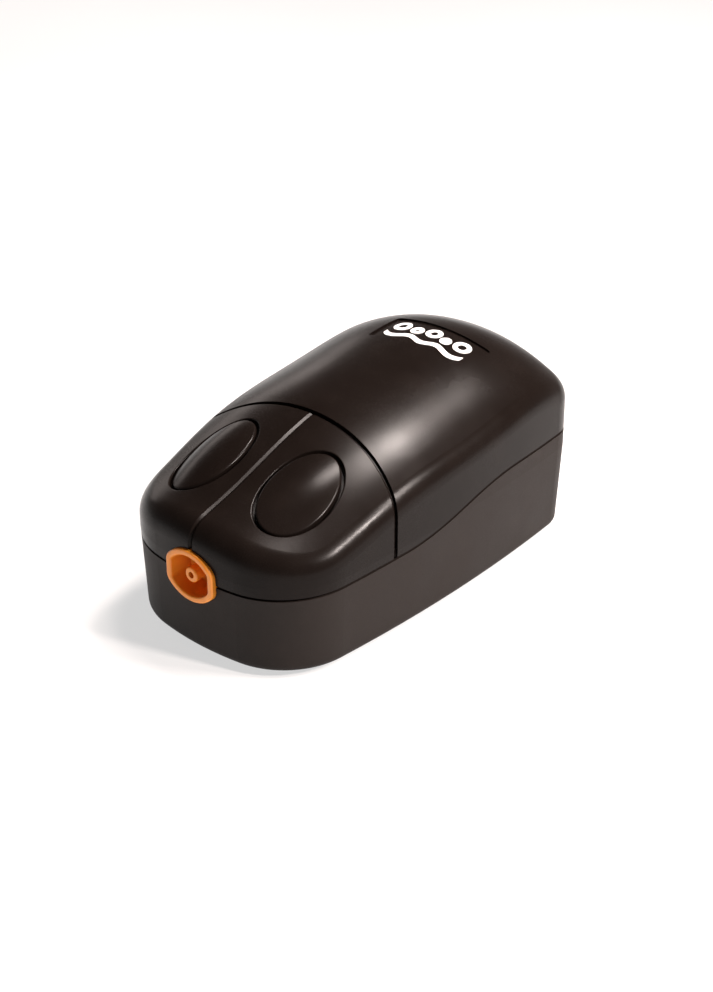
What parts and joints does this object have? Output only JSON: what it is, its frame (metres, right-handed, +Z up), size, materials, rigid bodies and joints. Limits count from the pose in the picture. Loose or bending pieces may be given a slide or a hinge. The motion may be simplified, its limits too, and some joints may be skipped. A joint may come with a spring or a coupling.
{
  "type": "aquarium air pump",
  "caption": "Small aquarium air pump: rounded dark housing in three shells, air outlet nipple in a cup at the front, electromagnetic diaphragm drive inside.",
  "frame": {"origin": "on the plane that the rubber feet stand on, at the middle of the overall box", "axes": "+X across, +Y from the air outlet at the front to the cord inlet at the rear, +Z up"},
  "size_m": [0.0772, 0.132, 0.0631],
  "materials": {
    "base_plastic": "matt, fine grain",
    "cover_plastic": "satin",
    "white_print": "printed ink",
    "orange_plastic": "satin",
    "black_rubber": "matt",
    "steel": "zinc plated",
    "felt": "felt",
    "core_steel": "varnished laminations",
    "brass_tabs": "bright",
    "natural_nylon": "natural",
    "copper_wire": "enamelled wire",
    "ferrite": "sintered",
    "pump_plastic": "moulded",
    "silicone": "translucent"
  },
  "bodies": {
    "housing": {"air_hose": "silicone", "base_shell": "base_plastic", "chamber_body": "pump_plastic", "chamber_cover": "pump_plastic", "chamber_gasket": "silicone", "chamber_screws": "steel", "coil_bobbin": "natural_nylon", "coil_terminals": "brass_tabs", "coil_winding": "copper_wire", "cord_gland": "black_rubber", "core_laminations": "core_steel", "core_screws": "steel", "diaphragm": "black_rubber", "diaphragm_clamp_ring": "pump_plastic", "filter_felt": "felt", "front_cover": "cover_plastic", "housing_screws": "steel", "intake_cap": "base_plastic", "label_mark": "white_print", "label_plate": "cover_plastic", "left_pad": "cover_plastic", "outlet_nozzle": "orange_plastic", "pivot_clip": "steel", "pivot_pin": "steel", "pivot_washer": "natural_nylon", "pump_mount_screws": "steel", "rear_cover": "cover_plastic", "right_pad": "cover_plastic", "rubber_feet": "black_rubber"},
    "arm": {"swing_arm": "natural_nylon", "magnet_yoke": "steel", "magnets": "ferrite", "magnet_rivets": "brass_tabs", "pivot_bushing": "brass_tabs", "diaphragm_washers": "steel", "diaphragm_screw": "steel"},
    "inlet_flap": {"inlet_flap": "silicone"},
    "outlet_flap": {"outlet_flap": "silicone"}
  },
  "joints": [
    {"name": "arm_swing", "type": "hinge", "parent": "housing", "child": "arm", "pos_m": [0, -0.033, 0.024], "axis": [0, 0, 1], "range_deg": [-2, 2], "stiffness_Nm_per_rad": 1, "deforming": ["diaphragm"]},
    {"name": "inlet_flap_hinge", "type": "hinge", "parent": "housing", "child": "inlet_flap", "pos_m": [-0.0155, -0.0066, 0.024], "axis": [0, 0, -1], "range_deg": [0, 15], "stiffness_Nm_per_rad": 0.00002},
    {"name": "outlet_flap_hinge", "type": "hinge", "parent": "housing", "child": "outlet_flap", "pos_m": [-0.0205, -0.0114, 0.024], "axis": [0, 0, -1], "range_deg": [0, 15], "stiffness_Nm_per_rad": 0.00002}
  ]
}
